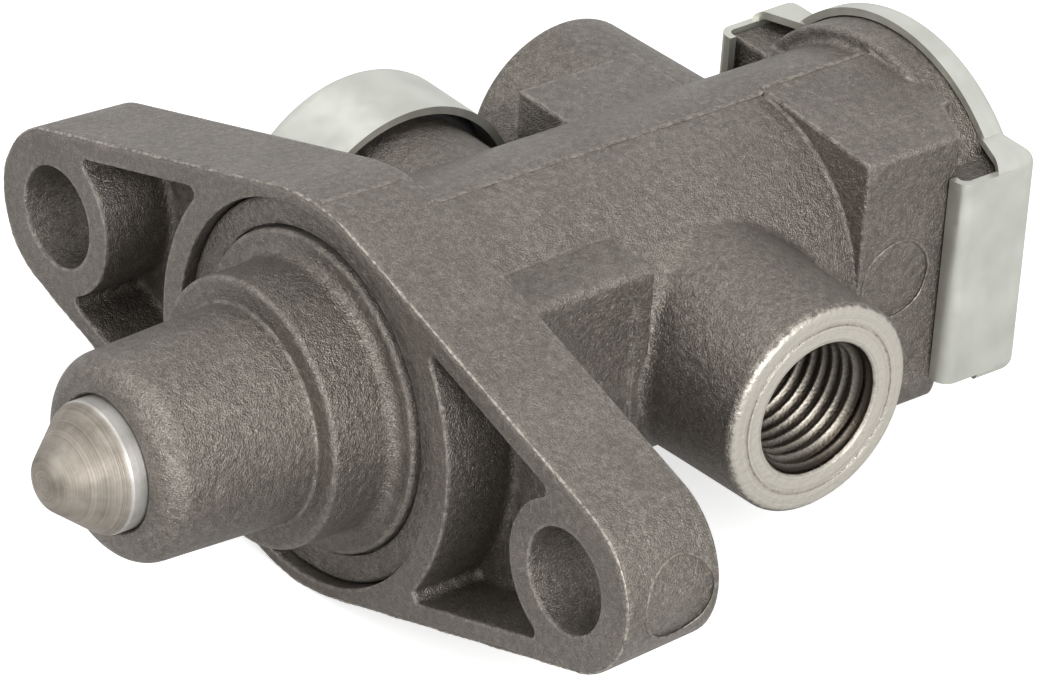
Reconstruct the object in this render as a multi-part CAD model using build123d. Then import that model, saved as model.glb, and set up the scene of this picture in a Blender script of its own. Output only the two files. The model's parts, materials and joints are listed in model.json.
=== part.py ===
from build123d import *
import os

# Plunger-operated 3/2 way air valve, millimetres.
# Origin: centre of the flange's mounting face, on the plunger axis.
# The plunger points along -Y, the outlet port along +X, and +Z is up.

# Fits and clearances
running_gap = 0.05        # radial gap of a sliding piece in its bore
fixed_gap = 0.03          # radial gap of a piece that is pushed in and stays put
stop_gap = 0.3            # between a moving piece and the stop it rests against
sheet_gap = 0.15          # between the sheet metal and the casting it wraps
soft_edge = 0.3           # radius that breaks the edges of the turned pieces
over_cut = 1.0            # how far a cutter runs past the face it opens

# Mounting flange
bolt_spacing = 78.0
bolt_hole_r = 5.25
lug_r = 9.0
hub_r = 20.6
flange_thick = 11.2
flange_draft = 0.5        # how much the outline has shrunk at the back
flange_edge_r = 0.5
rim_wall = 2.2
pocket_depth = 8.0
pocket_corner_r = 0.8
pocket_floor_r = 0.7
bolt_boss_r = 8.0
ring_wall = 2.6
recess_r = 19.2
recess_depth = 6.5

# Barrel, rear head and the cast pads on it
barrel_foot_r = 19.6      # where the barrel merges into the flange
barrel_root_r = 16.3
barrel_r = 15.8
barrel_root_fillet = 1.8
head_r = 17.6
head_thick = 4.6
body_rear_y = 73.2
head_fillet = 0.5
pad_half_width = 16.2
pad_half_height = 15.6
pad_front_y = 54.8
pad_side_end_y = 66.4
pad_corner_x = 11.0        # where the pad's rear corner is cut off at the head
pad_crest = 16.6          # height of the pad's top at the parting plane
pad_edge_r = 0.5
pad_low_corner_r = 4.5
cast_edge_r = 0.8
web_half_width = 16.4
web_half_height = 13.0
far_web_reach = 17.5
far_web_half_height = 12.5
web_panel_depth = 0.35
web_panel_inset = 1.8
web_panel_corner_r = 2.0
near_web_end_gap = 0.3
far_web_start_gap = 1.3
clip_lug_half_width = 17.6
clip_lug_half_height = 10.6
clip_lug_front_y = 66.8
mark_r = 4.2
mark_depth = 0.2
side_mark_y = 59.7
side_mark_z = 1.6
lug_mark_y = 6.6
lug_mark_z = 0.3
boss_blend_r = 1.5
tight_blend_r = 0.7

# Ports, all square to the plunger axis
exhaust_y = 26.0
outlet_y = 39.45
supply_y = 53.6
port_reach = 28.65
port_root_r = 11.9
port_end_r = 10.95
port_edge = 0.5
thread_r = 7.0
thread_length = 13.0
thread_chamfer = 0.2
supply_drill_r = 4.5
outlet_drill_r = 2.7
witness_r = 9.0
witness_width = 0.25
witness_depth = 0.15
exhaust_boss_r = 12.0
exhaust_boss_reach = 24.5
exhaust_bore_r = 8.0
exhaust_bore_depth = 7.5
exhaust_drill_r = 3.0

# Bores along the plunger axis, front to rear
chamber_r = 12.5
piston_bore_start = 29.2
spring_seat_width = 3.0
piston_bore_r = chamber_r - spring_seat_width
outlet_chamber_start = 37.2
outlet_chamber_r = 11.0
seat_wall_start = 44.0
supply_chamber_start = 46.5
seat_ring_outer_r = 8.0
seat_hole_r = 5.6
seat_lip = 0.5
seat_lip_width = 0.9
seat_lip_foot = 1.2
seat_lip_edge_r = 0.15
supply_chamber_r = 12.5

# Plunger guide
nose_front_y = -23.2
nose_front_r = 10.2
nose_base_r = 10.8
nose_edge_r = 2.7
nose_mouth = 0.35         # how far the bore opens out at the tip
nose_mouth_depth = 0.6
shoulder_y = -6.7
shoulder_r = 13.4
shoulder_edge_r = 0.4
shoulder_foot_r = 1.2
disc_y = 0.46
disc_r = 16.0
annulus_y = 1.2
annulus_gap = 0.2
foot_groove = 0.3
foot_groove_depth = 1.0
spigot_length = 6.0
o_ring_section = 2.0
o_ring_side_gap = 0.15
wiper_y = -19.5
wiper_width = 2.2
wiper_depth = 1.6
seal_y = -1.1
seal_width = 2.6
seal_depth = 2.0

# Plunger and control piston
plunger_r = 6.5
plunger_tip_y = -30.1
cone_start_y = -25.0
cone_edge_r = 0.5
cone_step = 0.15
tip_flat_r = 2.4
tip_round_r = 2.0
collar_side_gap = 0.7
collar_r = chamber_r - collar_side_gap
collar_thick = 2.0
plunger_tail_r = 5.0
plunger_tail_length = 2.2
tenon_r = 3.0
tenon_length = 3.0
piston_front_r = 6.0
piston_land_start = 29.8
piston_land_width = 3.6
piston_ring_section = 1.8
stem_r = 4.2
stem_bore_r = 2.6
vent_hole_r = 1.3
vent_hole_y = 24.0
dead_travel = 2.0         # stem end to inlet disc at rest

# Springs
return_wire = 1.6
return_turns = 4.5
coil_side_gap = 0.75
return_coil_r = chamber_r - coil_side_gap - return_wire / 2
spring_seat_thick = 1.0
spring_end_gap = 0.1
inlet_wire = 0.9
inlet_turns = 5.0
inlet_coil_r = 5.4

# Inlet valve
disc_rubber_r = 7.6
disc_rubber_thick = 2.2
holder_r = 8.6
holder_rim = 1.2
holder_length = 4.2
holder_stem_r = 3.2
holder_stem_end = 67.0
holder_ring_y = 64.0
holder_ring_section = 1.4

# Rear plug and the clip that holds it
plug_front_y = 61.0
plug_flange_r = 15.6
plug_flange_thick = 1.2
plug_ring_y = 68.0
plug_pocket_end = 71.0
sheet = 0.8
clip_rim_depth = 3.2
clip_side_half_height = 12.4
leg_half_height = 11.2
leg_front_y = 65.3
lip_reach = 1.3
clip_bend_r = 1.6
clip_ear_front_y = 69.8
clip_ear_x = 13.1
clip_dish_r = 9.0
clip_dish_depth = 0.5

# Exhaust cap and what holds it
cap_side_gap = 1.2        # room for the grip ring between boss and cap
cap_r = exhaust_boss_r + cap_side_gap + sheet
cap_mouth = 17.9
cap_end = 27.9
cap_corner_r = 1.6
grip_ring_x = 22.6
grip_ring_thick = 0.8
grip_slot_r = 0.45
grip_slot_count = 6
lip_seal_x = 20.6
lip_seal_thick = 1.2
lip_seal_seat_depth = 0.8
lip_seal_root = 0.1       # how far the bead stands out of its groove
lip_seal_heel = 0.4
lip_seal_lean = 0.3

ring_r = recess_r + ring_wall
axial = Plane(origin=(0, 0, 0), x_dir=(1, 0, 0), z_dir=(0, 1, 0))     # its own y points down
half_turn = (-1, 1)


def turned(points, radii=0):
    # a solid of revolution about the plunger axis, from (radius, y) corners
    outline = make_face(FilletPolyline(*points, radius=radii, close=True))
    return revolve(outline, Axis.Y)


def lathe(corners):
    # as turned, from (radius, y, corner radius) triples
    return turned([(r, y) for r, y, _ in corners], [edge for _, _, edge in corners])


def across(x, y=0.0, z=0.0, side=1):
    # a plane at x, square to the port axis, that looks outwards on one side
    return Plane(origin=(side * x, y, z), x_dir=(0, 1, 0), z_dir=(side, 0, 0))


def rod_across(radius, start, end, y=0.0, z=0.0, side=1):
    return extrude(across(start, y, z, side) * Circle(radius), end - start)


def slab(x_low, x_high, half_height, start, end, top_r, low_r):
    # a bar along the plunger axis with rounded outer corners
    corners = [(x_low, half_height), (x_high, half_height), (x_high, -half_height),
               (x_low, -half_height)]
    face = make_face(FilletPolyline(*corners, radius=[0, low_r, top_r, 0], close=True))
    return extrude(axial.offset(start) * face, end - start)


def ring(outer_radius, section, y):
    return Pos(0, y, 0) * (Rot(90, 0, 0) * Torus(outer_radius - section / 2, section / 2))


def coil(radius, wire, turns, start, end):
    # a wire spring about the plunger axis between two seats
    height = end - start - wire
    path = Helix(pitch=height / turns, height=height, radius=radius)
    wire_end = Plane(origin=path @ 0, z_dir=path % 0) * Circle(wire / 2)
    return Pos(0, start + wire / 2, 0) * (Rot(-90, 0, 0) * sweep(wire_end, path, is_frenet=True))


def flange_outline(inset=0.0):
    circles = [Circle(hub_r - inset)]
    for side in half_turn:
        circles.append(Pos(side * bolt_spacing / 2, 0) * Circle(lug_r - inset))
    return make_hull([edge for circle in circles for edge in circle.edges()])


def flange():
    plate = loft([axial * flange_outline(), axial.offset(flange_thick) * flange_outline(flange_draft)])
    plate = fillet(plate.faces().sort_by(Axis.Y)[0].edges(), flange_edge_r)
    for side in half_turn:
        bolt = Pos(side * bolt_spacing / 2, 0)
        half = Pos(side * bolt_spacing / 2, 0) * Rectangle(bolt_spacing, 2 * hub_r)
        hollow = (flange_outline(rim_wall) & half) - Circle(ring_r) - bolt * Circle(bolt_boss_r)
        hollow = fillet(hollow.vertices(), pocket_corner_r)
        pocket = extrude(axial * hollow, pocket_depth)
        plate -= fillet(pocket.faces().sort_by(Axis.Y)[-1].edges(), pocket_floor_r)
        plate -= extrude(axial * (bolt * Circle(bolt_hole_r)), flange_thick)
    return plate


def port_boss(y, side):
    boss = across(0, y, 0, side) * Cone(port_root_r, port_end_r, port_reach,
                               align=(Align.CENTER, Align.CENTER, Align.MIN))
    return chamfer(boss.faces().sort_by(Axis.X)[-1 if side > 0 else 0].edges(), port_edge)


def port_cut(y, side, drill_r):
    cut = rod_across(thread_r, port_reach - thread_length, port_reach, y, side=side)
    mouth = [across(port_reach - thread_chamfer, y, 0, side) * Circle(thread_r),
             across(port_reach, y, 0, side) * Circle(thread_r + thread_chamfer)]
    cut += loft(mouth)
    cut += rod_across(drill_r, 0, port_reach - thread_length, y, side=side)
    witness = Circle(witness_r) - Circle(witness_r - witness_width)
    return cut + extrude(across(port_reach - witness_depth, y, 0, side) * witness, witness_depth)


def blended(body, boss, y, side, blend_r):
    # a boss joined to the barrel, with the seam between them rounded
    joined = body + boss
    seam = []
    for edge in joined.edges().filter_by(GeomType.BSPLINE):
        middle = edge.bounding_box().center()
        if middle.X * side > 0 and abs(middle.Y - y) < port_end_r:
            seam.append(edge)
    return fillet(seam, blend_r)


def barrel():
    head_front = body_rear_y - head_thick
    return lathe([
        (0, flange_thick / 2, 0), (barrel_foot_r, flange_thick / 2, 0), (barrel_foot_r, flange_thick, 0),
        (barrel_root_r, flange_thick, barrel_root_fillet), (barrel_r, head_front, head_fillet),
        (head_r, head_front, cast_edge_r / 2), (head_r, body_rear_y, cast_edge_r / 2),
        (0, body_rear_y, 0)])


def pad():
    # a block on the outlet's side, highest at the parting plane, with its rear corner cut off
    head_front = body_rear_y - head_thick
    side = [(0, -pad_crest), (pad_half_width, -pad_half_height), (pad_half_width, pad_half_height),
            (0, pad_half_height)]
    side = make_face(FilletPolyline(*side, radius=[0, pad_edge_r, pad_low_corner_r, 0], close=True))
    block = extrude(axial.offset(pad_front_y) * side, head_front + over_cut - pad_front_y)
    plan = [(0, pad_front_y), (pad_half_width, pad_front_y), (pad_half_width, pad_side_end_y),
            (pad_corner_x, head_front), (pad_corner_x, head_front + over_cut), (0, head_front + over_cut)]
    return block & extrude(Plane.XY * make_face(Polyline(*plan, close=True)), pad_crest, both=True)


def webs_and_pads():
    near_end = outlet_y - port_end_r - near_web_end_gap
    near = slab(0, web_half_width, web_half_height, flange_thick - over_cut, near_end,
                cast_edge_r, cast_edge_r)
    outline = RectangleRounded(2 * (near_end - flange_thick - web_panel_inset),
                               2 * (web_half_height - web_panel_inset), web_panel_corner_r)
    panel = extrude(across(web_half_width - web_panel_depth, flange_thick) * outline, over_cut)
    far_start = exhaust_y + exhaust_boss_r + far_web_start_gap
    far = slab(-far_web_reach, 0, far_web_half_height, far_start, supply_y, 0, 0)
    lugs = slab(-clip_lug_half_width, clip_lug_half_width, clip_lug_half_height,
                clip_lug_front_y, body_rear_y, cast_edge_r, cast_edge_r)
    return (near - panel) + far + pad() + lugs


def axial_bores():
    return turned([
        (0, -over_cut), (recess_r, -over_cut), (recess_r, recess_depth), (chamber_r, recess_depth),
        (chamber_r, piston_bore_start), (piston_bore_r, piston_bore_start),
        (piston_bore_r, outlet_chamber_start), (outlet_chamber_r, outlet_chamber_start),
        (outlet_chamber_r, seat_wall_start), (seat_ring_outer_r, seat_wall_start),
        (seat_ring_outer_r, supply_chamber_start), (supply_chamber_r, supply_chamber_start),
        (supply_chamber_r, body_rear_y + over_cut), (0, body_rear_y + over_cut)])


def lug_mark():
    # a bare round mark that follows the curved end of the flange
    lug = Cone(lug_r - mark_depth, lug_r - flange_draft - mark_depth, flange_thick,
               align=(Align.CENTER, Align.CENTER, Align.MIN))
    disc = rod_across(mark_r, bolt_spacing / 2, bolt_spacing / 2 + lug_r + over_cut, lug_mark_y, lug_mark_z)
    return disc - Pos(bolt_spacing / 2, 0, 0) * (axial * lug)


def valve_body():
    exhaust_boss = rod_across(exhaust_boss_r, 0, exhaust_boss_reach, exhaust_y, side=-1)
    body = blended(barrel(), exhaust_boss, exhaust_y, -1, tight_blend_r)
    body = blended(body, port_boss(outlet_y, 1), outlet_y, 1, boss_blend_r)
    body = blended(body, port_boss(supply_y, -1), supply_y, -1, tight_blend_r)
    body += flange() + webs_and_pads()
    body -= axial_bores()
    body -= port_cut(outlet_y, 1, outlet_drill_r) + port_cut(supply_y, -1, supply_drill_r)
    body -= rod_across(exhaust_bore_r, exhaust_boss_reach - exhaust_bore_depth, exhaust_boss_reach,
                       exhaust_y, side=-1)
    body -= rod_across(exhaust_drill_r, 0, exhaust_boss_reach, exhaust_y, side=-1)
    seal_groove = Circle(exhaust_boss_r + over_cut) - Circle(exhaust_boss_r - lip_seal_seat_depth)
    body -= extrude(across(lip_seal_x - lip_seal_thick / 2, exhaust_y, 0, -1) * seal_groove, lip_seal_thick)
    body -= rod_across(mark_r, pad_half_width - mark_depth, pad_half_width + over_cut, side_mark_y,
                       side_mark_z)
    return body - lug_mark()


def plunger_guide():
    spigot_r = chamber_r - fixed_gap
    spigot_end = recess_depth + spigot_length
    ring_floor = chamber_r - o_ring_section
    ring_low = recess_depth + spigot_length / 2 - o_ring_section / 2 - o_ring_side_gap
    ring_high = ring_low + o_ring_section + 2 * o_ring_side_gap
    bore_r = plunger_r + running_gap
    return lathe([
        (bore_r, nose_front_y + nose_mouth_depth, 0), (bore_r + nose_mouth, nose_front_y, 0),
        (nose_front_r, nose_front_y, nose_edge_r),
        (nose_base_r, shoulder_y, 0), (shoulder_r, shoulder_y, shoulder_edge_r),
        (shoulder_r, disc_y, shoulder_foot_r), (disc_r, disc_y, soft_edge),
        (disc_r, annulus_y + foot_groove_depth, 0),
        (disc_r + foot_groove, annulus_y + foot_groove_depth, 0),
        (disc_r + foot_groove, annulus_y, 0), (recess_r - annulus_gap, annulus_y, soft_edge),
        (recess_r - annulus_gap, recess_depth, 0), (spigot_r, recess_depth, 0),
        (spigot_r, ring_low, 0), (ring_floor, ring_low, 0), (ring_floor, ring_high, 0),
        (spigot_r, ring_high, 0), (spigot_r, spigot_end, soft_edge), (bore_r, spigot_end, 0),
        (bore_r, seal_y + seal_width / 2, 0), (bore_r + seal_depth, seal_y + seal_width / 2, 0),
        (bore_r + seal_depth, seal_y - seal_width / 2, 0), (bore_r, seal_y - seal_width / 2, 0),
        (bore_r, wiper_y + wiper_width / 2, 0), (bore_r + wiper_depth, wiper_y + wiper_width / 2, 0),
        (bore_r + wiper_depth, wiper_y - wiper_width / 2, 0), (bore_r, wiper_y - wiper_width / 2, 0)])


def guide_o_ring():
    return ring(chamber_r, o_ring_section, recess_depth + spigot_length / 2)


def bore_seal(y, width, depth, lip):
    # a ring in the guide's bore: full width at its root, narrowed to a lip at the plunger
    inner, outer = plunger_r + running_gap, plunger_r + running_gap + depth
    side = width / 2 - fixed_gap
    return turned([(outer, y - side), (outer, y + side), (inner + depth / 2, y + side),
                   (inner, y + lip), (inner, y - lip), (inner + depth / 2, y - side)])


def plunger_seal():
    return bore_seal(seal_y, seal_width, seal_depth, seal_width / 5)


def plunger_wiper():
    return bore_seal(wiper_y, wiper_width, wiper_depth, wiper_width / 6)


collar_y = recess_depth + spigot_length + stop_gap
tail_start = collar_y + collar_thick
tail_end = tail_start + plunger_tail_length
stem_end = supply_chamber_start + seat_lip - dead_travel


def plunger():
    return lathe([
        (0, plunger_tip_y, 0), (tip_flat_r, plunger_tip_y, tip_round_r),
        (plunger_r - cone_step, cone_start_y, cone_edge_r), (plunger_r, cone_start_y + cone_edge_r, 0),
        (plunger_r, collar_y, 0), (collar_r, collar_y, soft_edge), (collar_r, tail_start, soft_edge),
        (plunger_tail_r, tail_start, 0), (plunger_tail_r, tail_end, 0), (tenon_r, tail_end, 0),
        (tenon_r, tail_end + tenon_length, soft_edge), (0, tail_end + tenon_length, 0)])


def control_piston():
    land_r = piston_bore_r - running_gap
    land_end = piston_land_start + piston_land_width
    groove_low = piston_land_start + (piston_land_width - piston_ring_section) / 2 - o_ring_side_gap
    groove_high = groove_low + piston_ring_section + 2 * o_ring_side_gap
    groove_r = land_r - piston_ring_section
    socket_r = tenon_r + fixed_gap
    socket_end = tail_end + tenon_length + fixed_gap
    bore_end = vent_hole_y - 2 * vent_hole_r
    body = lathe([
        (0, socket_end, 0), (socket_r, socket_end, 0), (socket_r, tail_end, 0),
        (piston_front_r, tail_end, soft_edge), (piston_front_r, piston_land_start, 0),
        (land_r, piston_land_start, 0), (land_r, groove_low, 0), (groove_r, groove_low, 0),
        (groove_r, groove_high, 0), (land_r, groove_high, 0), (land_r, land_end, 0),
        (stem_r, land_end, 0), (stem_r, stem_end, soft_edge), (stem_bore_r, stem_end, 0),
        (stem_bore_r, bore_end, 0), (0, bore_end, 0)])
    for angle in (0, 90):
        vent = Cylinder(vent_hole_r, 2 * piston_front_r + over_cut)
        body -= Pos(0, vent_hole_y, 0) * (Rot(0, angle, 0) * vent)
    return body


def piston_o_ring():
    middle = piston_land_start + piston_land_width / 2
    return ring(piston_bore_r - running_gap, piston_ring_section, middle)


def return_spring_seat():
    seat_start = piston_bore_start - spring_seat_thick
    return turned([(piston_bore_r + stop_gap, seat_start), (chamber_r - sheet_gap, seat_start),
                   (chamber_r - sheet_gap, piston_bore_start),
                   (piston_bore_r + stop_gap, piston_bore_start)])


def return_spring():
    seat_start = piston_bore_start - spring_seat_thick
    return coil(return_coil_r, return_wire, return_turns, tail_start + spring_end_gap,
                seat_start - spring_end_gap)


def inlet_seat_ring():
    top = supply_chamber_start + seat_lip
    return lathe([
        (seat_hole_r, seat_wall_start, 0), (seat_ring_outer_r, seat_wall_start, 0),
        (seat_ring_outer_r, supply_chamber_start, 0), (seat_hole_r + seat_lip_foot, supply_chamber_start, 0),
        (seat_hole_r + seat_lip_width, top, seat_lip_edge_r), (seat_hole_r, top, seat_lip_edge_r)])


disc_front = supply_chamber_start + seat_lip + running_gap
disc_rear = disc_front + disc_rubber_thick
holder_rear = disc_front + holder_length


def inlet_valve_disc():
    return lathe([(0, disc_front, 0), (disc_rubber_r, disc_front, soft_edge),
                  (disc_rubber_r, disc_rear, 0), (0, disc_rear, 0)])


def inlet_valve_holder():
    rim_front = disc_rear - holder_rim
    ring_floor = holder_stem_r - holder_ring_section
    side = holder_ring_section / 2 + o_ring_side_gap
    return lathe([
        (0, disc_rear, 0), (disc_rubber_r + fixed_gap, disc_rear, 0),
        (disc_rubber_r + fixed_gap, rim_front, 0), (holder_r, rim_front, soft_edge),
        (holder_r, holder_rear, soft_edge), (holder_stem_r, holder_rear, 0),
        (holder_stem_r, holder_ring_y - side, 0), (ring_floor, holder_ring_y - side, 0),
        (ring_floor, holder_ring_y + side, 0), (holder_stem_r, holder_ring_y + side, 0),
        (holder_stem_r, holder_stem_end, soft_edge), (0, holder_stem_end, 0)])


def holder_o_ring():
    return ring(holder_stem_r, holder_ring_section, holder_ring_y)


def inlet_valve_spring():
    return coil(inlet_coil_r, inlet_wire, inlet_turns, holder_rear + spring_end_gap,
                plug_front_y - spring_end_gap)


def rear_plug():
    body_r = supply_chamber_r - fixed_gap
    ring_floor = supply_chamber_r - o_ring_section
    side = o_ring_section / 2 + o_ring_side_gap
    pocket_r = holder_stem_r + running_gap
    return lathe([
        (pocket_r, plug_front_y, 0), (body_r, plug_front_y, soft_edge),
        (body_r, plug_ring_y - side, 0), (ring_floor, plug_ring_y - side, 0),
        (ring_floor, plug_ring_y + side, 0), (body_r, plug_ring_y + side, 0),
        (body_r, body_rear_y, 0), (plug_flange_r, body_rear_y, 0),
        (plug_flange_r, body_rear_y + plug_flange_thick, soft_edge),
        (0, body_rear_y + plug_flange_thick, 0), (0, plug_pocket_end, 0),
        (pocket_r, plug_pocket_end, 0)])


def rear_plug_o_ring():
    return ring(supply_chamber_r, o_ring_section, plug_ring_y)


def clip_ears(side, rim_front):
    # the clip's top and bottom rims reach further forward beside the legs, on a slanted edge
    outline = RectangleRounded(2 * side, 2 * clip_side_half_height, clip_bend_r)
    outline -= RectangleRounded(2 * (side - sheet), 2 * (clip_side_half_height - sheet),
                                clip_bend_r - sheet)
    rims = extrude(axial.offset(clip_ear_front_y) * outline, rim_front - clip_ear_front_y)
    open_front = [(-side, clip_ear_front_y), (side, clip_ear_front_y), (clip_ear_x, rim_front),
                  (-clip_ear_x, rim_front)]
    face = Plane.XY * make_face(Polyline(*open_front, close=True))
    return rims - extrude(face, 2 * clip_side_half_height, both=True)


def rear_cover_clip():
    # end plate with a forward rim, two side legs and the lips that hook behind the head
    rear = body_rear_y + plug_flange_thick
    outer_y = rear + sheet
    side = clip_lug_half_width + sheet_gap + sheet
    shell = Circle(head_r + sheet_gap + sheet)
    shell += RectangleRounded(2 * side, 2 * clip_side_half_height, clip_bend_r)
    inner = Circle(head_r + sheet_gap)
    inner += RectangleRounded(2 * (side - sheet), 2 * (clip_side_half_height - sheet),
                              clip_bend_r - sheet)
    clip = extrude(axial.offset(outer_y - clip_rim_depth) * shell, clip_rim_depth)
    clip = fillet(clip.faces().sort_by(Axis.Y)[-1].edges(), clip_bend_r)
    clip -= extrude(axial.offset(outer_y - clip_rim_depth) * inner, clip_rim_depth - sheet)
    clip += clip_ears(side, outer_y - clip_rim_depth)
    for hand in half_turn:
        tip = side - sheet - lip_reach
        bend = leg_front_y + sheet
        path = [(hand * side, outer_y - clip_rim_depth), (hand * side, leg_front_y),
                (hand * tip, leg_front_y), (hand * tip, bend), (hand * (side - sheet), bend),
                (hand * (side - sheet), outer_y - clip_rim_depth)]
        leg = make_face(FilletPolyline(*path, radius=[0, clip_bend_r, 0, 0, clip_bend_r - sheet, 0],
                                       close=True))
        clip += Pos(0, 0, -leg_half_height) * extrude(leg, 2 * leg_half_height)
    dish = lathe([(0, outer_y - clip_dish_depth, 0), (clip_dish_r, outer_y - clip_dish_depth, 0),
                  (clip_dish_r + over_cut, outer_y + over_cut, 0), (0, outer_y + over_cut, 0)])
    return clip - dish


def exhaust_cap():
    at = across(cap_mouth, exhaust_y, 0, -1)
    cap = extrude(at * Circle(cap_r), cap_end - cap_mouth)
    cap = fillet(cap.faces().sort_by(Axis.X)[0].edges(), cap_corner_r)
    hollow = extrude(at * Circle(cap_r - sheet), cap_end - cap_mouth - sheet)
    return cap - fillet(hollow.faces().sort_by(Axis.X)[0].edges(), cap_corner_r - sheet)


def cap_grip_ring():
    outline = Circle(cap_r - sheet) - Circle(exhaust_boss_r)
    slots = PolarLocations((cap_r - sheet + exhaust_boss_r) / 2, grip_slot_count)
    for slot in slots:
        outline -= slot * Circle(grip_slot_r)
    return extrude(across(grip_ring_x, exhaust_y, 0, -1) * outline, grip_ring_thick)


def exhaust_lip_seal():
    # a bead seated in the boss's groove and a lip that leans outwards to the cap's wall
    root = exhaust_boss_r - lip_seal_seat_depth
    low, high = lip_seal_x - lip_seal_thick / 2, lip_seal_x + lip_seal_thick / 2
    corners = [(low + fixed_gap, root), (high - fixed_gap, root),
               (high - fixed_gap, exhaust_boss_r + lip_seal_root),
               (high + lip_seal_lean, cap_r - sheet - fixed_gap),
               (high - lip_seal_root, cap_r - sheet - fixed_gap),
               (low + fixed_gap, exhaust_boss_r + lip_seal_heel)]
    section = make_face(Polyline(*[(-x, exhaust_y + r) for x, r in corners], close=True))
    return revolve(section, Axis((0, exhaust_y, 0), (1, 0, 0)))


pieces = [valve_body, plunger_guide, guide_o_ring, plunger_seal, plunger_wiper, plunger,
          control_piston, piston_o_ring, return_spring, return_spring_seat, inlet_seat_ring,
          inlet_valve_disc, inlet_valve_holder, holder_o_ring, inlet_valve_spring, rear_plug,
          rear_plug_o_ring, rear_cover_clip, exhaust_cap, cap_grip_ring, exhaust_lip_seal]

os.makedirs("parts", exist_ok=True)
for make_piece in pieces:
    export_step(make_piece(), f"parts/{make_piece.__name__}.step")
    print(make_piece.__name__)
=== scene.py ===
import json
import math

import bmesh
import bpy
import numpy as np
from mathutils import Matrix, Vector


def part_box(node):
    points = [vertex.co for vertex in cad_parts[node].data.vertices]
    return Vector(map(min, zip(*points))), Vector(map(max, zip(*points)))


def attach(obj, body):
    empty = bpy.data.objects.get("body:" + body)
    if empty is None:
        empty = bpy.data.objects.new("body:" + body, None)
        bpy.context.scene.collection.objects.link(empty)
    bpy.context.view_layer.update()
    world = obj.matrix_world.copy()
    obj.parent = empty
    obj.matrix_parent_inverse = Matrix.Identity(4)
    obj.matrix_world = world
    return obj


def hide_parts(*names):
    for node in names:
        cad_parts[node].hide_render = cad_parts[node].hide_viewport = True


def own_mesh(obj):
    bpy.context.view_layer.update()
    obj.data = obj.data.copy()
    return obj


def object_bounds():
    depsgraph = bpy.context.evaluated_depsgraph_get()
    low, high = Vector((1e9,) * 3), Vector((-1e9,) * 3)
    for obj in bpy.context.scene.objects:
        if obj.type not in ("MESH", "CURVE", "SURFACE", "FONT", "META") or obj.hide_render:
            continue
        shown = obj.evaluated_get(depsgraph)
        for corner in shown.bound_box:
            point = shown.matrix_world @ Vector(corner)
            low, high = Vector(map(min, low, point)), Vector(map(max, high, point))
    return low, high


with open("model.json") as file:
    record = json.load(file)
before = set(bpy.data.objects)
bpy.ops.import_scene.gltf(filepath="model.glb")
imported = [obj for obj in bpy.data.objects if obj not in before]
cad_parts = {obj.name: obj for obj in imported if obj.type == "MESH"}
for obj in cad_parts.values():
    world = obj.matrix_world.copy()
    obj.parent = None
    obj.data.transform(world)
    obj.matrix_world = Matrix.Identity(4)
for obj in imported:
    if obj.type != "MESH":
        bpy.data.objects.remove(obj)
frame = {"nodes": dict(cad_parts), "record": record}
cadBox = [list(corner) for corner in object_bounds()]
millimetre = 0.001


# Camera: the photograph's own view, worked out from the drawn edges
cameraSet = {
    "azimuth": 48.897,          # degrees, turned from +Y towards -X
    "elevation": 30.616,
    "roll": 4.415,
    "location": (536.72, -443.25, 420.18),   # millimetres
    "focalPixels": 8655.7,      # on a picture 1040 pixels wide
    "pictureWidth": 1040,
    "pictureHeight": 680,
    "centre": (509.0, 332.2),   # the optical axis in the picture, in pixels
    "sensor": 36.0,
}


def makeCamera(settings):
    around, above, tilt = (math.radians(settings[key]) for key in ("azimuth", "elevation", "roll"))
    back = Vector((math.sin(around) * math.cos(above), -math.cos(around) * math.cos(above),
                   math.sin(above)))
    right = Vector((math.cos(around), math.sin(around), 0))
    up = back.cross(right)
    turnedRight = right * math.cos(tilt) + up * math.sin(tilt)
    turnedUp = up * math.cos(tilt) - right * math.sin(tilt)
    data = bpy.data.cameras.new("camera")
    data.sensor_width = settings["sensor"]
    data.lens = settings["focalPixels"] / settings["pictureWidth"] * settings["sensor"]
    data.shift_x = (settings["pictureWidth"] / 2 - settings["centre"][0]) / settings["pictureWidth"]
    data.shift_y = (settings["centre"][1] - settings["pictureHeight"] / 2) / settings["pictureWidth"]
    data.clip_start = 0.05
    data.clip_end = 20
    camera = bpy.data.objects.new("camera", data)
    bpy.context.collection.objects.link(camera)
    place = Matrix((turnedRight, turnedUp, back)).transposed().to_4x4()
    place.translation = Vector(settings["location"]) * millimetre
    camera.matrix_world = place
    bpy.context.scene.camera = camera


makeCamera(cameraSet)
print("camera placed")


# Studio: pale floor, soft lamps and a white surround
studioSet = {
    "floorColour": (0.82, 0.82, 0.82, 1),
    "floorLift": 0.62,          # light that only the camera sees on the floor
    "floorHalfSize": 3.0,
    "worldStrength": 0.45,
    "lamps": [
        # name, place, what it is aimed at, size, watts
        ("topLamp", (-0.25, -0.1, 1.1), (0, 0.02, 0), 0.7, 2.5),
        ("frontLamp", (-0.1, -1.1, 0.6), (0, 0.02, 0), 0.6, 3.2),
        ("rightLamp", (1.0, -0.3, 0.5), (0, 0.03, 0), 0.6, 11.0),
    ],
}


def makeLamp(name, place, target, size, watts):
    data = bpy.data.lights.new(name, "AREA")
    data.shape = "SQUARE"
    data.size = size
    data.energy = watts
    lamp = bpy.data.objects.new(name, data)
    bpy.context.collection.objects.link(lamp)
    lamp.location = place
    lamp.rotation_euler = (Vector(target) - Vector(place)).to_track_quat("-Z", "Y").to_euler()


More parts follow.
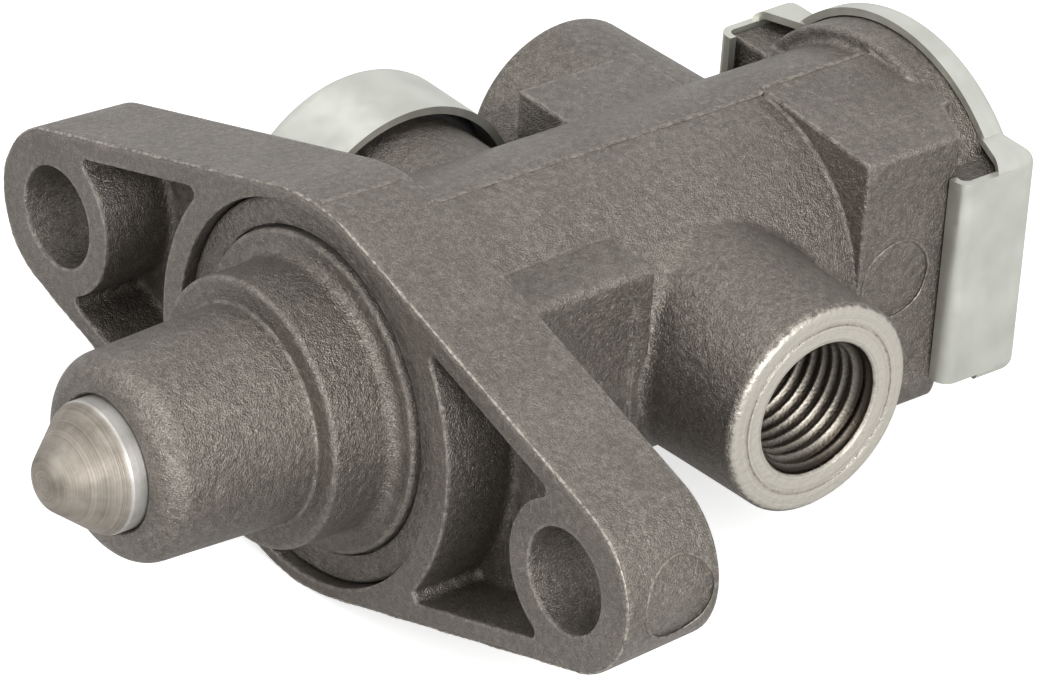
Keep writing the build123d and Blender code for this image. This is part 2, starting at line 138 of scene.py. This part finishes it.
def anyRay(tree, *kinds):
    # one for a ray of any of these kinds
    path = tree.nodes.new("ShaderNodeLightPath")
    found = path.outputs[kinds[0]]
    for kind in kinds[1:]:
        either = tree.nodes.new("ShaderNodeMath")
        either.operation = "MAXIMUM"
        tree.links.new(found, either.inputs[0])
        tree.links.new(path.outputs[kind], either.inputs[1])
        found = either.outputs[0]
    return found


def makeStudio(settings):
    world = bpy.data.worlds.new("studio")
    bpy.context.scene.world = world
    world.use_nodes = True
    tree = world.node_tree
    tree.nodes.clear()
    soft = tree.nodes.new("ShaderNodeBackground")
    soft.inputs["Strength"].default_value = settings["worldStrength"]
    white = tree.nodes.new("ShaderNodeBackground")
    mix = tree.nodes.new("ShaderNodeMixShader")
    out = tree.nodes.new("ShaderNodeOutputWorld")
    soft.inputs["Color"].default_value = (1, 1, 1, 1)
    white.inputs["Color"].default_value = (1, 1, 1, 1)
    tree.links.new(anyRay(tree, "Is Camera Ray", "Is Glossy Ray", "Is Transmission Ray"), mix.inputs[0])
    tree.links.new(soft.outputs[0], mix.inputs[1])
    tree.links.new(white.outputs[0], mix.inputs[2])
    tree.links.new(mix.outputs[0], out.inputs["Surface"])
    for lamp in settings["lamps"]:
        makeLamp(*lamp)
    half, low = settings["floorHalfSize"], cadBox[0][2]
    mesh = bpy.data.meshes.new("floor")
    corners = [(-half, -half, low), (half, -half, low), (half, half, low), (-half, half, low)]
    mesh.from_pydata(corners, [], [(0, 1, 2, 3)])
    floor = bpy.data.objects.new("floor", mesh)
    bpy.context.collection.objects.link(floor)
    material = bpy.data.materials.new("floor")
    material.use_nodes = True
    tree = material.node_tree
    shader = tree.nodes["Principled BSDF"]
    shader.inputs["Base Color"].default_value = settings["floorColour"]
    shader.inputs["Roughness"].default_value = 0.9
    shader.inputs["Emission Color"].default_value = (1, 1, 1, 1)
    lift = tree.nodes.new("ShaderNodeMath")
    lift.operation = "MULTIPLY"
    lift.inputs[1].default_value = settings["floorLift"]
    tree.links.new(anyRay(tree, "Is Camera Ray"), lift.inputs[0])
    tree.links.new(lift.outputs[0], shader.inputs["Emission Strength"])
    mesh.materials.append(material)


makeStudio(studioSet)
bpy.context.scene.view_settings.view_transform = "Standard"
print("studio set")


class Finish:
    # a procedural material, with short ways to add its nodes

    def __init__(self, name, metallic, roughness):
        self.material = bpy.data.materials.new(name)
        self.material.use_nodes = True
        self.tree = self.material.node_tree
        self.shader = self.tree.nodes["Principled BSDF"]
        self.shader.inputs["Metallic"].default_value = metallic
        self.shader.inputs["Roughness"].default_value = roughness
        self.place = self.add("ShaderNodeTexCoord").outputs["Object"]

    def add(self, kind, **settings):
        node = self.tree.nodes.new(kind)
        for key, value in settings.items():
            setattr(node, key, value)
        return node

    def put(self, value, socket):
        # a number or a colour is set, an output is joined
        if isinstance(value, bpy.types.NodeSocket):
            self.tree.links.new(value, socket)
        else:
            socket.default_value = value

    def axes(self):
        # the place along x, y and z
        node = self.add("ShaderNodeSeparateXYZ")
        self.put(self.place, node.inputs[0])
        return [node.outputs[axis] for axis in "XYZ"]

    def blend(self, values):
        # the sum of several outputs, each times its share
        total = None
        for value, share in values:
            part = self.math("MULTIPLY", value, share)
            total = self.math("ADD", total, part) if total else part
        return total

    def length(self, first, second):
        squares = [self.math("MULTIPLY", value, value) for value in (first, second)]
        return self.math("SQRT", self.math("ADD", *squares))

    def along(self, value):
        # a place that changes with one value alone, for rings and streaks
        node = self.add("ShaderNodeCombineXYZ")
        self.put(value, node.inputs["X"])
        return node.outputs[0]

    def noise(self, size, detail=2.0, roughness=0.5, where=None):
        # size is the grain's width in millimetres
        node = self.add("ShaderNodeTexNoise")
        node.inputs["Scale"].default_value = 1 / (size * millimetre)
        node.inputs["Detail"].default_value = detail
        node.inputs["Roughness"].default_value = roughness
        self.put(where or self.place, node.inputs["Vector"])
        return node.outputs["Fac"]

    def steps(self, value, low, high, first=0.0, last=1.0):
        # first below low, last above high, and evenly between
        node = self.add("ShaderNodeMapRange", clamp=True)
        for key, setting in zip(("From Min", "From Max", "To Min", "To Max"), (low, high, first, last)):
            node.inputs[key].default_value = setting
        self.put(value, node.inputs["Value"])
        return node.outputs["Result"]

    def math(self, operation, first, second=0.0):
        node = self.add("ShaderNodeMath", operation=operation)
        self.put(first, node.inputs[0])
        self.put(second, node.inputs[1])
        return node.outputs[0]

    def mix(self, factor, first, second):
        node = self.add("ShaderNodeMix", data_type="RGBA")
        self.put(factor, node.inputs["Factor"])
        colours = [socket for socket in node.inputs if socket.type == "RGBA"]
        for value, socket in zip((first, second), colours):
            self.put((*value, 1) if isinstance(value, tuple) else value, socket)
        return [socket for socket in node.outputs if socket.type == "RGBA"][0]

    def bump(self, height, distance, before=None, strength=1.0):
        # distance in millimetres
        node = self.add("ShaderNodeBump")
        node.inputs["Strength"].default_value = strength
        node.inputs["Distance"].default_value = distance * millimetre
        self.put(height, node.inputs["Height"])
        if before:
            self.put(before, node.inputs["Normal"])
        return node.outputs["Normal"]

    def edges(self, radius):
        # near one on a sharp outer or inner edge, zero on the flats
        bevel = self.add("ShaderNodeBevel", samples=4)
        bevel.inputs["Radius"].default_value = radius * millimetre
        plain = self.add("ShaderNodeNewGeometry").outputs["Normal"]
        dot = self.add("ShaderNodeVectorMath", operation="DOT_PRODUCT")
        self.put(bevel.outputs["Normal"], dot.inputs[0])
        self.put(plain, dot.inputs[1])
        return self.steps(dot.outputs["Value"], 0.86, 0.995, 1.0, 0.0), bevel.outputs["Normal"]


castSet = {
    "dark": (0.122, 0.108, 0.093),
    "middle": (0.178, 0.159, 0.140),
    # the glint and spark tones are painted highlights: bright specks in the colour that stand in for
    # glints on the grain
    "paintedGlint": (0.30, 0.272, 0.24),
    "paintedSpark": (0.31, 0.285, 0.25),
    "worn": (0.45, 0.42, 0.375),
    "metallic": 0.8,
    "roughness": 0.4,
    "speck": 0.16,              # width of the blasted grain, millimetres
    "paintedSparkSize": 0.3,           # spacing of the painted sparkle: bright specks in the colour that stand in for glints
    "clump": 0.75,              # spacing of the lumps under the grain
    "patch": 9.0,               # and of the broad lighter and darker areas
    "shares": (0.5, 0.35, 0.15),            # of grain, lumps and areas in the tone
    "darkSteps": (0.38, 0.5),   # tones between which dark turns into middle
    "paintedGlintSteps": (0.5, 0.66),
    "paintedSparkSteps": (0.72, 0.84),
    "wearGrain": 0.9,           # how coarsely the worn edges break up
    "wearSteps": (0.42, 0.62),
    "speckDepth": 0.15,
    "clumpDepth": 0.17,
    "edgeRadius": 0.7,
    "machined": (0.62, 0.585, 0.52),
    "faceAt": 28.4,             # the ports' faces are machined beyond this distance
    "facesFrom": 25.0,          # and only the ports reach so far out beyond this y
    "machinedDark": (0.50, 0.47, 0.41),
    "faceFade": (0.15, 0.4),    # how far beyond it the machining starts and is complete
    "faceRagged": 0.5,          # how much the lumps break up its border
    "faceGrain": 0.15,          # how much of the blasted grain is left on it
    "faceCentres": (39.45, 53.6),           # y of the outlet port's axis, and of the supply port's
    "lathe": 0.25,              # width of the turning marks on them
}


def castFinish(name, settings, machinedFaces):
    # a blasted skin: dark and pale grain on lumps with painted glints and sparkle as bright specks, paler
    # where edges have worn
    cast = Finish(name, settings["metallic"], settings["roughness"])
    speck = cast.noise(settings["speck"], 1.0, 0.6)
    clump = cast.noise(settings["clump"], 2.0, 0.6)
    patches = cast.noise(settings["patch"], 3.0)
    wear, softNormal = cast.edges(settings["edgeRadius"])
    ragged = cast.steps(cast.noise(settings["wearGrain"], 3.0, 0.7), *settings["wearSteps"], 0.1, 1.0)
    tone = cast.blend(zip((speck, clump, patches), settings["shares"]))
    colour = cast.mix(cast.steps(tone, *settings["darkSteps"]), settings["dark"], settings["middle"])
    # painted highlight: the brightest grain and the sparkle specks take bright tones that stand in for
    # glints
    colour = cast.mix(cast.steps(tone, *settings["paintedGlintSteps"]), colour, settings["paintedGlint"])
    paintedSparks = cast.steps(cast.noise(settings["paintedSparkSize"], 0.0), *settings["paintedSparkSteps"])
    colour = cast.mix(paintedSparks, colour, settings["paintedSpark"])
    colour = cast.mix(cast.math("MULTIPLY", wear, ragged), colour, settings["worn"])
    normal = cast.bump(clump, settings["clumpDepth"], softNormal)
    if machinedFaces:
        x, y, z = cast.axes()
        rough = cast.math("MULTIPLY", clump, settings["faceRagged"] * millimetre)
        out = cast.math("ADD", cast.math("ABSOLUTE", x), rough)
        face = cast.steps(out, *((settings["faceAt"] + far) * millimetre for far in settings["faceFade"]))
        behind = cast.math("GREATER_THAN", y, settings["facesFrom"] * millimetre)
        face = cast.math("MULTIPLY", face, behind)
        outlet, supply = (centre * millimetre for centre in settings["faceCentres"])
        supplySide = cast.math("LESS_THAN", x, 0.0)
        centre = cast.math("ADD", cast.math("MULTIPLY", supplySide, supply - outlet), outlet)
        marks = cast.noise(settings["lathe"], 2.0, 0.6, cast.along(
            cast.length(cast.math("SUBTRACT", y, centre), z)))
        bright = cast.mix(cast.steps(marks, 0.35, 0.65), settings["machinedDark"], settings["machined"])
        colour = cast.mix(face, colour, bright)
        speck = cast.math("MULTIPLY", speck, cast.steps(face, 0, 1, 1.0, settings["faceGrain"]))
    cast.put(colour, cast.shader.inputs["Base Color"])
    cast.put(cast.bump(speck, settings["speckDepth"], normal), cast.shader.inputs["Normal"])
    return cast


plungerSet = {
    "dark": (0.175, 0.152, 0.125),
    "light": (0.37, 0.335, 0.29),
    # painted sheen: the land's paler tone stands in for the bright reflection it catches
    "rim": (0.56, 0.545, 0.52),
    "rimFrom": (6.36, 6.44),    # distances from the axis between which the painted sheen on the land starts
    "ring": 0.22,               # width of the turning marks, millimetres
    "band": 1.1,
    "stain": 2.5,
    "shares": (0.4, 0.25, 0.35),            # of rings, bands and stains in the tone
    "ringDepth": 0.05,
    "slope": 0.6,               # how much the distance from the axis counts beside y
}
plateSet = {"dark": (0.55, 0.555, 0.50), "light": (0.655, 0.66, 0.605), "cloud": 6.0, "smear": 1.5,
            "grain": 0.8, "grainDepth": 0.012, "roughness": (0.28, 0.42)}
plainShade = 0.85               # how dark the darker spots of the plain finishes are


def plungerFinish(settings):
    # lathe rings about the plunger's axis: they follow y plus the distance from the axis
    steel = Finish("plungerSteel", 0.8, 0.52)
    x, y, z = steel.axes()
    distance = steel.length(x, z)
    path = steel.along(steel.math("ADD", y, steel.math("MULTIPLY", distance, settings["slope"])))
    rings = steel.noise(settings["ring"], 3.0, 0.7, path)
    bands = steel.noise(settings["band"], 2.0, 0.6, path)
    stains = steel.noise(settings["stain"], 4.0, 0.6)
    tone = steel.blend(zip((rings, bands, stains), settings["shares"]))
    colour = steel.mix(steel.steps(tone, 0.38, 0.58), settings["dark"], settings["light"])
    # painted sheen: a paler band on the outer land, broken up by the stains, standing in for a reflection
    rim = steel.steps(distance, *(radius * millimetre for radius in settings["rimFrom"]))
    rim = steel.math("MULTIPLY", rim, steel.steps(stains, 0.3, 0.6, 0.6, 1.0))
    steel.put(steel.mix(rim, colour, settings["rim"]), steel.shader.inputs["Base Color"])
    steel.put(steel.bump(rings, settings["ringDepth"]), steel.shader.inputs["Normal"])
    return steel


def plateFinish(settings):
    plate = Finish("platedSheet", 0.85, 0.34)
    cloud = plate.noise(settings["cloud"], 4.0)
    plate.put(plate.mix(plate.steps(cloud, 0.35, 0.65), settings["dark"], settings["light"]),
              plate.shader.inputs["Base Color"])
    plate.put(plate.steps(plate.noise(settings["smear"], 3.0), 0.3, 0.7, *settings["roughness"]),
              plate.shader.inputs["Roughness"])
    plate.put(plate.bump(plate.noise(settings["grain"], 2.0), settings["grainDepth"]),
              plate.shader.inputs["Normal"])
    return plate


def plainFinish(name, metallic, roughness, colour, grain, depth):
    plain = Finish(name, metallic, roughness)
    spots = plain.noise(grain, 3.0)
    darker = tuple(channel * plainShade for channel in colour)
    plain.put(plain.mix(plain.steps(spots, 0.35, 0.65), darker, colour),
              plain.shader.inputs["Base Color"])
    plain.put(plain.bump(spots, depth), plain.shader.inputs["Normal"])
    return plain


finishes = {
    "cast_aluminium": castFinish("castAluminium", castSet, True),
    "guide_metal": castFinish("guideMetal", castSet, False),
    "plunger_steel": plungerFinish(plungerSet),
    "plated_sheet": plateFinish(plateSet),
    "turned_aluminium": plainFinish("turnedAluminium", 1.0, 0.3, (0.72, 0.72, 0.72), 0.6, 0.01),
    "spring_steel": plainFinish("springSteel", 1.0, 0.3, (0.42, 0.42, 0.43), 0.8, 0.01),
    "seat_brass": plainFinish("seatBrass", 1.0, 0.28, (0.72, 0.56, 0.3), 0.6, 0.01),
    "seal_rubber": plainFinish("sealRubber", 0.0, 0.6, (0.022, 0.022, 0.022), 0.5, 0.01),
}
for part in frame["record"]["subparts"]:
    mesh = frame["nodes"][part["node"]].data
    mesh.materials.clear()
    mesh.materials.append(finishes[part["material_slot"]].material)
print("finishes on every node")


# Port threads: ridges lining each port's plain hole
threadSet = {
    "wallRadius": 7.0,
    "pitch": 1.5,
    "depth": 0.85,
    "gap": 0.01,                # between the wall and a root, so that no faces coincide
    "crestFlat": 1.15,          # a ridge's shape: its height before it is cut off at one,
    "crestSlope": 2.6,          # and how fast it falls to both sides
    "outerEnd": 28.35,          # distance from the plunger's axis
    "innerEnd": 16.0,
    # painted shade: the dark root tone stands in for the shadow deep in the thread's grooves
    "root": (0.045, 0.037, 0.029),
    "crest": (0.28, 0.26, 0.225),
    "stepsRound": 96,
    "stepsPerTurn": 12,
    "skin": 0.06,               # how far the lining reaches into the wall
    "ports": [("outletThread", 39.45, 1), ("supplyThread", 53.6, -1)],
}


def meshFromGrid(name, points, capped=False):
    # a surface closed both ways round, from a grid of points [row, column]; or, where it is
    # capped, one that ends in a flat face at its first and last row
    rows, columns = points.shape[:2]
    corner = np.arange(rows * columns).reshape(rows, columns)
    nextRow, nextColumn = np.roll(corner, -1, 0), np.roll(corner, -1, 1)
    both = np.roll(nextRow, -1, 1)
    faces = np.stack([corner, nextColumn, both, nextRow], -1)
    faces = (faces[:-1] if capped else faces).reshape(-1, 4).tolist()
    if capped:
        faces += [corner[0, ::-1].tolist(), corner[-1].tolist()]
    mesh = bpy.data.meshes.new(name)
    mesh.from_pydata((points.reshape(-1, 3) * millimetre).tolist(), [], faces)
    solid = bmesh.new()
    solid.from_mesh(mesh)
    bmesh.ops.recalc_face_normals(solid, faces=solid.faces)
    solid.to_mesh(mesh)
    solid.free()
    mesh.polygons.foreach_set("use_smooth", np.ones(len(faces), bool))
    piece = bpy.data.objects.new(name, mesh)
    bpy.context.collection.objects.link(piece)
    return piece


def threadFinish(name, y, settings):
    # the metal's tone on the crests and painted shade darkening the roots, by distance from the port's
    # axis
    steel = Finish(name, 1.0, 0.36)
    places = steel.axes()
    distance = steel.length(steel.math("SUBTRACT", places[1], y * millimetre), places[2])
    wall = settings["wallRadius"] * millimetre
    crest = steel.steps(distance, wall - settings["depth"] * millimetre,
                        wall - 0.3 * settings["depth"] * millimetre, 1.0, 0.0)
    rough = steel.noise(0.3, 3.0)
    crest = steel.math("MULTIPLY", crest, steel.steps(rough, 0.25, 0.6, 0.55, 1.0))
    steel.put(steel.mix(crest, settings["root"], settings["crest"]), steel.shader.inputs["Base Color"])
    steel.put(steel.bump(rough, 0.05), steel.shader.inputs["Normal"])
    return steel


def threadLining(name, y, side, settings):
    # radius = wall - depth x ridge, where ridge rises and falls once for each pitch along the
    # port and is carried on by one pitch for each turn; it fades in at both ends
    start, end = settings["innerEnd"], settings["outerEnd"]
    count = int((end - start) / settings["pitch"] * settings["stepsPerTurn"])
    along = np.linspace(start, end, count)
    turns = np.linspace(0, 2 * math.pi, settings["stepsRound"], endpoint=False)
    x, angle = np.meshgrid(along, turns, indexing="ij")
    phase = (x / settings["pitch"] - side * angle / (2 * math.pi)) % 1
    ridge = np.clip(settings["crestFlat"] - np.abs(phase - 0.5) * settings["crestSlope"], 0, 1)
    fade = np.clip((end - x) / settings["pitch"], 0, 1) * np.clip((x - start) / settings["pitch"], 0, 1)
    inner = settings["wallRadius"] - settings["depth"] * ridge * fade - settings["gap"]
    outer = np.full_like(inner, settings["wallRadius"] + settings["skin"])
    radius = np.concatenate([inner, outer[::-1]])
    x, angle = np.concatenate([x, x[::-1]]), np.concatenate([angle, angle[::-1]])
    grid = np.stack([side * x, y + radius * np.cos(angle), radius * np.sin(angle)], -1)
    piece = meshFromGrid(name, grid)
    piece.data.materials.append(threadFinish(name + "Finish", y, settings).material)
    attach(piece, "housing")


for port in threadSet["ports"]:
    threadLining(*port, threadSet)
print("port threads cut")


# Springs: a coil wound in place of each spring's node, carried by its body
springSet = {
    "stepsPerTurn": 48,
    "stepsRound": 14,
    "springs": [
        # name, node, wire in millimetres, turns, body, joint
        ("returnCoil", "return_spring", 1.6, 4.5, "plunger_unit", "plunger_slide"),
        ("inletCoil", "inlet_valve_spring", 0.9, 5.0, "inlet_valve", "inlet_valve_slide"),
    ],
}


def springCoil(name, node, wire, turns, body, joint, settings):
    # centre line: a circle about the plunger's axis that moves back evenly by one pitch each turn;
    # wall: a circle of the wire's radius, square to that line
    low, high = (np.array(corner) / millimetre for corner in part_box(node))
    radius = (high[0] - low[0] - wire) / 2
    turn = np.linspace(0, 2 * math.pi * turns, int(settings["stepsPerTurn"] * turns))
    start, end = low[1] + wire / 2, high[1] - wire / 2
    outward = np.stack([np.cos(turn), 0 * turn, -np.sin(turn)], -1)
    path = radius * outward
    path[:, 1] = np.linspace(start, end, len(turn))
    ahead = np.gradient(path, axis=0)
    ahead /= np.linalg.norm(ahead, axis=1)[:, None]
    aside = np.cross(ahead, outward)
    spin = np.linspace(0, 2 * math.pi, settings["stepsRound"], endpoint=False)[:, None]
    wall = np.cos(spin) * outward[:, None] + np.sin(spin) * aside[:, None]
    piece = meshFromGrid(name, path[:, None] + wire / 2 * wall, True)
    piece.data.materials.append(finishes["spring_steel"].material)
    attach(piece, body)
    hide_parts(node)
    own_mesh(piece)


for spring in springSet["springs"]:
    springCoil(*spring, springSet)
print("springs wound")


# Flash: ragged ridges where the halves of the die met, and along the flange's front edge
flashSet = {
    "step": 0.3,
    "stepsRound": 8,
    "buried": 0.15,             # how deep the ridges reach into the casting
    "edgeTones": ((0.17, 0.152, 0.133), (0.42, 0.39, 0.345)),
    "seamTones": ((0.15, 0.132, 0.112), (0.30, 0.275, 0.24)),
    "edgeWidth": 0.36,
    "edgeHeight": 0.13,
    "seamWidth": 0.75,
    "seamHeight": 0.14,
    "waves": [(1.7, 0.0), (3.1, 1.0), (7.9, 2.0)],          # length and start of each wave
    "waveMean": 0.5,
    "waveShare": 0.3,
    "least": 0.05,              # the lowest a ridge gets, as a part of its full height
    "flangeCentres": [(39, 9.0), (0, 20.6), (-39, 9.0)],     # along x, with each circle's radius
    "flangeEdge": 0.5,
    "markRadius": 4.2,
    "markWidth": 0.45,
    "markHeight": 0.16,
    "padMark": (16.2, 59.7, 1.6),
    "lugMark": (39.0, 6.6, 0.3),            # the lug's own centre along x
    "lugRadius": (9.0, 0.0446),             # at the front, and how fast it shrinks with y
    "seamLine": [(0.6, 20.55), (11.15, 20.08), (11.6, 17.9), (13.2, 16.3), (54.7, 15.93),
                 (54.9, 16.6), (68.6, 16.6)],                # y and height above the axis
}


def flashFinish(name, tones):
    flash = Finish(name, 0.8, 0.42)
    worn = flash.steps(flash.noise(0.5, 3.0, 0.7), 0.4, 0.62)
    flash.put(flash.mix(worn, *tones), flash.shader.inputs["Base Color"])
    flash.put(flash.bump(flash.noise(0.2), 0.06), flash.shader.inputs["Normal"])
    return flash.material


def evenSteps(points, step, closed):
    # the same line with points a step apart, by length along it
    if closed:
        points = np.concatenate([points, points[:1]])
    far = np.concatenate([[0], np.cumsum(np.linalg.norm(np.diff(points, axis=0), axis=1))])
    where = np.arange(0, far[-1] - (step / 2 if closed else 0), step)
    return where, np.stack([np.interp(where, far, points[:, axis]) for axis in range(3)], -1)


def ragged(far):
    # between zero and one along a length: three waves whose lengths have no common measure
    short, middle, long = (np.sin(far / size * 2 * math.pi + start) for size, start in flashSet["waves"])
    height = flashSet["waveMean"] + flashSet["waveShare"] * short * middle + flashSet["waveShare"] * long
    return np.clip(height, flashSet["least"], 1)


def ridge(name, line, outward, aside, width, height, capped, finish):
    # a lens carried along a line: half an ellipse above the surface and a flatter one below it
    far, path = line
    turns = np.linspace(0, 2 * math.pi, flashSet["stepsRound"], endpoint=False)
    rise = height * ragged(far)[:, None] * np.clip(np.sin(turns), 0, 1)
    rise = rise + flashSet["buried"] * np.clip(np.sin(turns), -1, 0)
    wide = width / 2 * (0.7 + 0.3 * ragged(far + 5))[:, None] * np.cos(turns)
    grid = path[:, None] + outward[:, None] * rise[..., None] + aside[:, None] * wide[..., None]
    piece = meshFromGrid(name, grid, capped)
    piece.data.materials.append(finish)
    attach(piece, "housing")


def edgeFlash(settings, finish):
    # round the hull of the flange's three circles, on the middle of its rounded front edge
    circles = settings["flangeCentres"]
    lean = math.acos((circles[1][1] - circles[0][1]) / circles[0][0])
    spans = [(-lean, lean), (lean, math.pi - lean), (math.pi - lean, math.pi + lean),
             (math.pi + lean, 2 * math.pi - lean)]
    corners, normals = [], []
    for (x, radius), span in zip(circles + [circles[1]], spans):
        angle = np.linspace(*span, 90)
        normal = np.stack([np.cos(angle), 0 * angle, np.sin(angle)], -1)
        middle = np.array([x, settings["flangeEdge"], 0])
        corners.append(middle + (radius - settings["flangeEdge"]) * normal)
        normals.append(normal)
    corners, normals = np.concatenate(corners), np.concatenate(normals)
    far, path = evenSteps(corners, settings["step"], True)
    ahead = np.roll(path, -1, 0) - np.roll(path, 1, 0)
    ahead /= np.linalg.norm(ahead, axis=1)[:, None]
    front = np.array([0.0, -1.0, 0.0])
    normal = np.cross(ahead, front)
    normal *= np.sign((normal * path).sum(1))[:, None]
    outward, aside = (normal + front) / math.sqrt(2), (front - normal) / math.sqrt(2)
    path = path + outward * settings["flangeEdge"]
    ridge("flangeFlash", (far, path), outward, aside, settings["edgeWidth"], settings["edgeHeight"],
          False, finish)


def seamFlash(name, up, settings, finish):
    # along the top or the underside at x = 0, over the flange, the barrel and the pad
    corners = np.array([(0, y, up * height) for y, height in settings["seamLine"]], float)
    far, path = evenSteps(corners, settings["step"], False)
    ahead = np.gradient(path, axis=0)
    ahead /= np.linalg.norm(ahead, axis=1)[:, None]
    aside = np.tile([1.0, 0.0, 0.0], (len(path), 1))
    outward = np.cross(aside, ahead) * up
    ridge(name, (far, path), outward, aside * up, settings["seamWidth"], settings["seamHeight"],
          True, finish)


def markRims(settings, finish):
    # a raised rim round each bare mark: a circle laid on the pad's side and on the lug's round end
    turn = np.linspace(0, 2 * math.pi, 90, endpoint=False)
    for name, (x, y, z) in (("padMarkRim", settings["padMark"]), ("lugMarkRim", settings["lugMark"])):
        ys, zs = y + settings["markRadius"] * np.cos(turn), z + settings["markRadius"] * np.sin(turn)
        if name == "lugMarkRim":
            radius = settings["lugRadius"][0] - settings["lugRadius"][1] * ys
            depth = np.sqrt(radius ** 2 - zs ** 2)
            path = np.stack([x + depth, ys, zs], -1)
            outward = np.stack([depth / radius, 0 * ys, zs / radius], -1)
        else:
            path = np.stack([0 * ys + x, ys, zs], -1)
            outward = np.tile([1.0, 0.0, 0.0], (len(turn), 1))
        ahead = np.roll(path, -1, 0) - np.roll(path, 1, 0)
        ahead /= np.linalg.norm(ahead, axis=1)[:, None]
        ridge(name, (turn * settings["markRadius"], path), outward, np.cross(ahead, outward),
              settings["markWidth"], settings["markHeight"], False, finish)


edgeFlash(flashSet, flashFinish("edgeFlash", flashSet["edgeTones"]))
seamFinish = flashFinish("seamFlash", flashSet["seamTones"])
markRims(flashSet, seamFinish)
for name, up in (("seamFlashTop", 1), ("seamFlashUnder", -1)):
    seamFlash(name, up, flashSet, seamFinish)
print("flash added")
